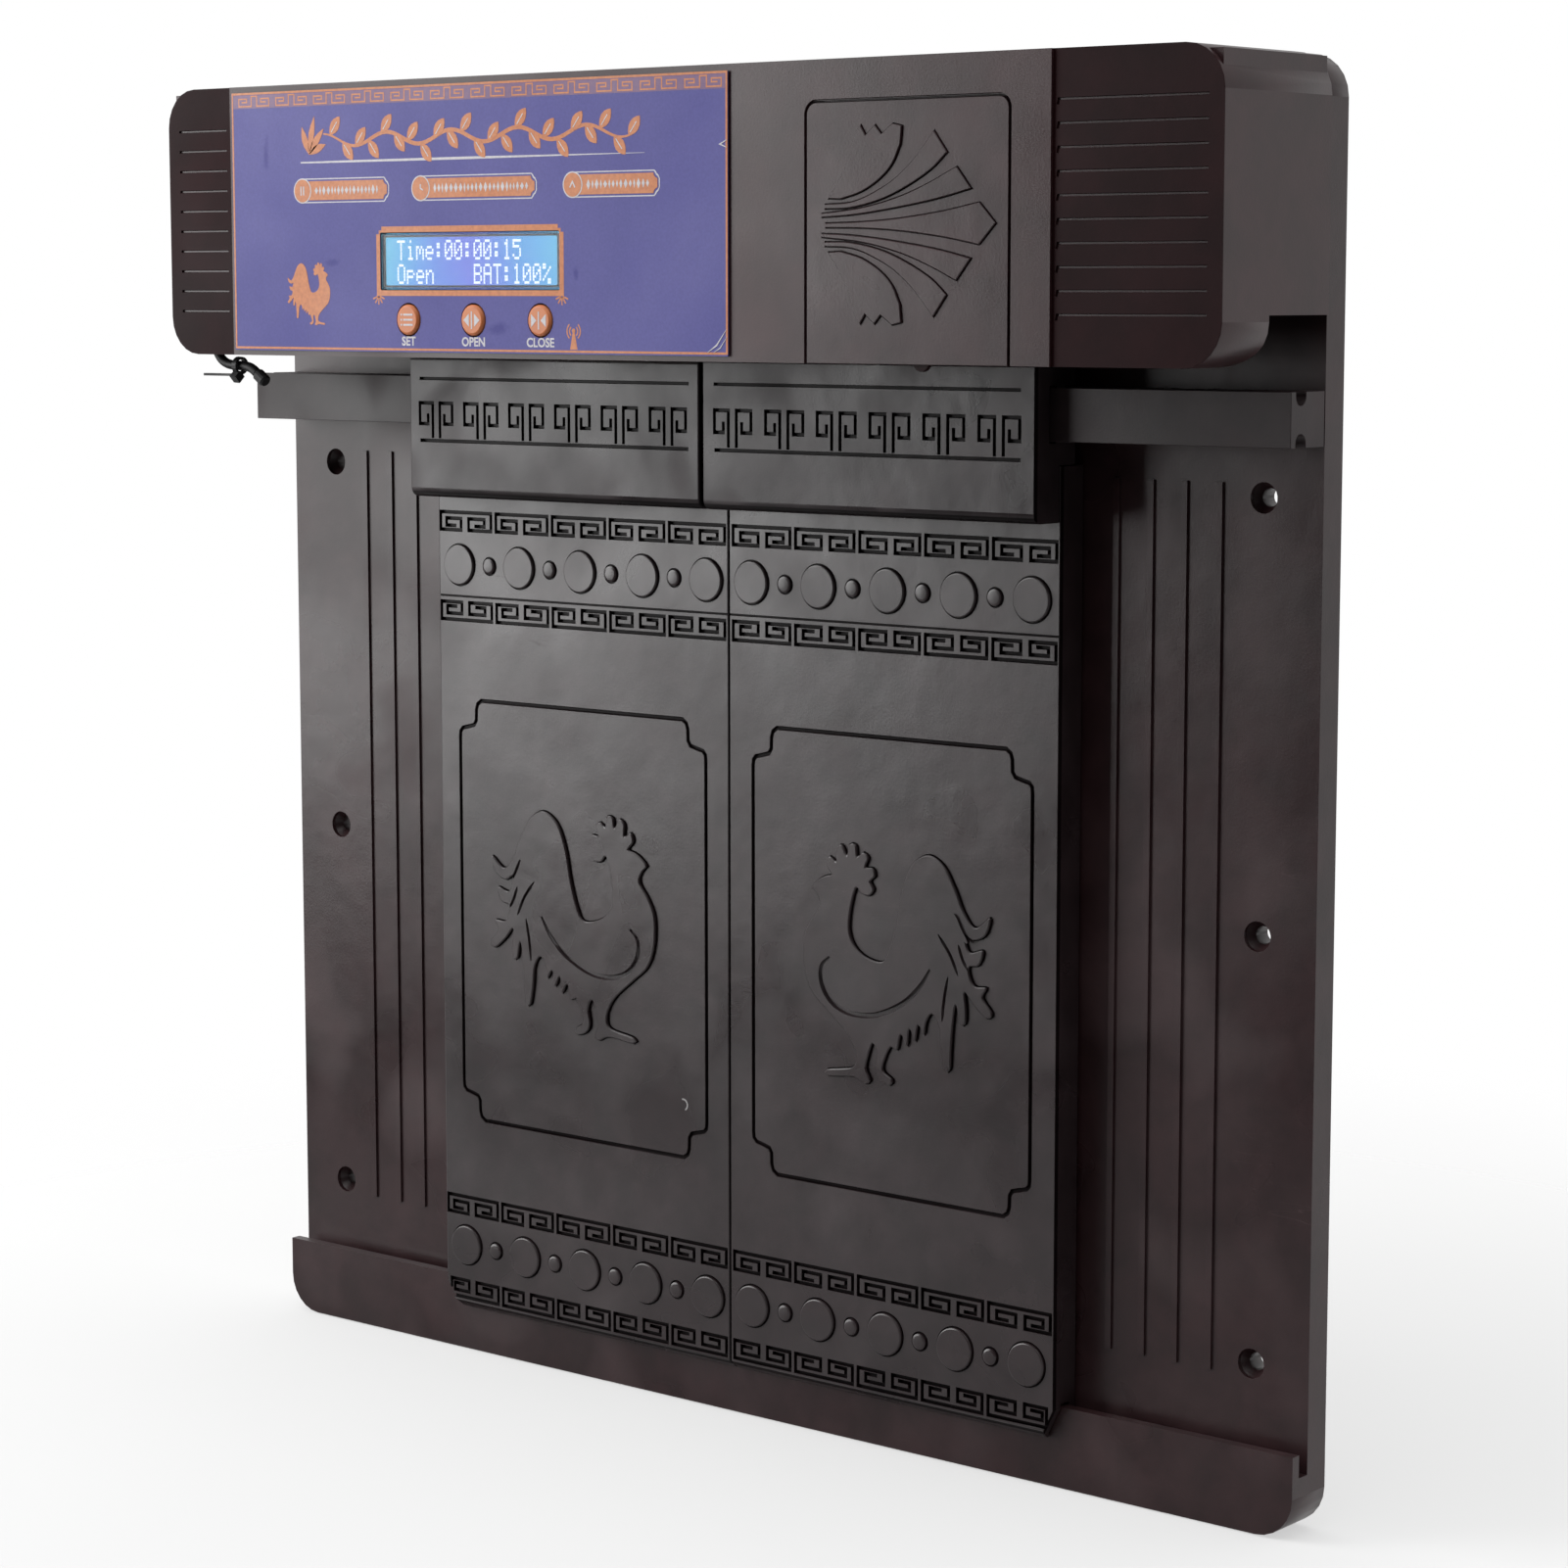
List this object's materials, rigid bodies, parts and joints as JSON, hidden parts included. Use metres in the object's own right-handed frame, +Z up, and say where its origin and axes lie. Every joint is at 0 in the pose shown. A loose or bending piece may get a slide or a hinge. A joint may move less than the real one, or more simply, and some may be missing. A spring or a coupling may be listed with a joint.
{
  "type": "automatic coop door",
  "caption": "Wall-mounted powered poultry coop door: dark patterned double leaves slide apart on a rail below a housing with a display, keys, battery lid and geared motor.",
  "frame": {"origin": "on the back face of the wall plate, at the middle of the sill, 10 mm above the plate's lower edge", "axes": "+X to the right as seen from the front, +Y from the front into the wall, +Z up"},
  "size_m": [0.3512, 0.0566, 0.3576],
  "materials": {
    "plate_plastic": "dark brown-black moulded plastic, semi-gloss, mottled",
    "cover_plastic": "dark brown-black moulded plastic, satin",
    "leaf_plastic": "dark grey-brown moulded plastic with raised ornament, semi-gloss, worn",
    "label_film": "printed periwinkle film with an orange border, satin",
    "clear_lens": "clear window",
    "lcd_blue": "blue character display",
    "button_orange": "satin orange plastic",
    "screw_steel": "zinc-plated steel",
    "motor_steel": "plated steel",
    "gear_acetal": "natural acetal",
    "board_green": "solder mask",
    "part_black": "black moulded plastic",
    "lead_rubber": "black flexible sheath",
    "cell_jacket": "plain blue cell jacket",
    "contact_nickel": "nickel-plated spring steel",
    "tray_plastic": "dark grey moulded plastic"
  },
  "bodies": {
    "wall_unit": {"back_plate": "plate_plastic", "guide_rail": "plate_plastic", "rail_screw_1": "screw_steel", "rail_screw_2": "screw_steel", "rail_screw_3": "screw_steel", "rail_screw_4": "screw_steel", "front_cover": "cover_plastic", "cover_screw_1": "screw_steel", "cover_screw_2": "screw_steel", "cover_screw_3": "screw_steel", "cover_screw_4": "screw_steel", "chassis_tray": "tray_plastic", "tray_screw_1": "screw_steel", "tray_screw_2": "screw_steel", "gearbox": "motor_steel", "motor_can": "motor_steel", "motor_bracket": "motor_steel", "control_board": "board_green", "lcd_bezel": "tray_plastic", "lcd_screen": "lcd_blue", "lcd_window": "clear_lens", "label_overlay": "label_film", "switch_set": "part_black", "switch_open": "part_black", "switch_close": "part_black", "battery_box": "tray_plastic", "battery_1": "cell_jacket", "battery_2": "cell_jacket", "battery_3": "cell_jacket", "battery_4": "cell_jacket", "contact_strip_lower": "contact_nickel", "contact_strip_upper": "contact_nickel", "cable_gland": "lead_rubber", "power_lead": "lead_rubber", "lead_connector": "lead_rubber", "cable_tie": "lead_rubber"},
    "leaf_left": {"hanger_left": "leaf_plastic", "door_panel_left": "leaf_plastic", "rack_left": "gear_acetal", "rack_screw_left_1": "screw_steel", "rack_screw_left_2": "screw_steel", "panel_screw_left_1": "screw_steel", "panel_screw_left_2": "screw_steel", "panel_screw_left_3": "screw_steel"},
    "leaf_right": {"hanger_right": "leaf_plastic", "door_panel_right": "leaf_plastic", "rack_right": "gear_acetal", "rack_screw_right_1": "screw_steel", "rack_screw_right_2": "screw_steel", "panel_screw_right_1": "screw_steel", "panel_screw_right_2": "screw_steel", "panel_screw_right_3": "screw_steel"},
    "drive": {"drive_pinion": "gear_acetal", "drive_shaft": "screw_steel"},
    "set_key": {"button_set": "button_orange"},
    "open_key": {"button_open": "button_orange"},
    "close_key": {"button_close": "button_orange"},
    "battery_door": {"battery_lid": "cover_plastic"}
  },
  "joints": [
    {"name": "leaf_left_slide", "type": "slide", "parent": "wall_unit", "child": "leaf_left", "axis": [-1, 0, 0], "range_m": [0, 0.098]},
    {"name": "leaf_right_slide", "type": "slide", "parent": "wall_unit", "child": "leaf_right", "axis": [1, 0, 0], "range_m": [0, 0.0981]},
    {"name": "drive_spin", "type": "hinge", "parent": "wall_unit", "child": "drive", "pos_m": [0, -0.0217, 0.2787], "axis": [0, 0, 1], "range_deg": [-940, 5]},
    {"name": "set_key_travel", "type": "slide", "parent": "wall_unit", "child": "set_key", "axis": [0, 1, 0], "range_m": [0, 0.0004], "stiffness_N_per_m": 500, "springref_m": -0.0005},
    {"name": "open_key_travel", "type": "slide", "parent": "wall_unit", "child": "open_key", "axis": [0, 1, 0], "range_m": [0, 0.0004], "stiffness_N_per_m": 500, "springref_m": -0.0005},
    {"name": "close_key_travel", "type": "slide", "parent": "wall_unit", "child": "close_key", "axis": [0, 1, 0], "range_m": [0, 0.0004], "stiffness_N_per_m": 500, "springref_m": -0.0005},
    {"name": "battery_lid_slide", "type": "slide", "parent": "wall_unit", "child": "battery_door", "axis": [0, 0, -1], "range_m": [0, 0.05]}
  ],
  "couplings": [
    {"joint": "leaf_right_slide", "follows": "leaf_left_slide", "ratio": 1},
    {"joint": "drive_spin", "follows": "leaf_left_slide", "rad_per_m": -166.67}
  ]
}
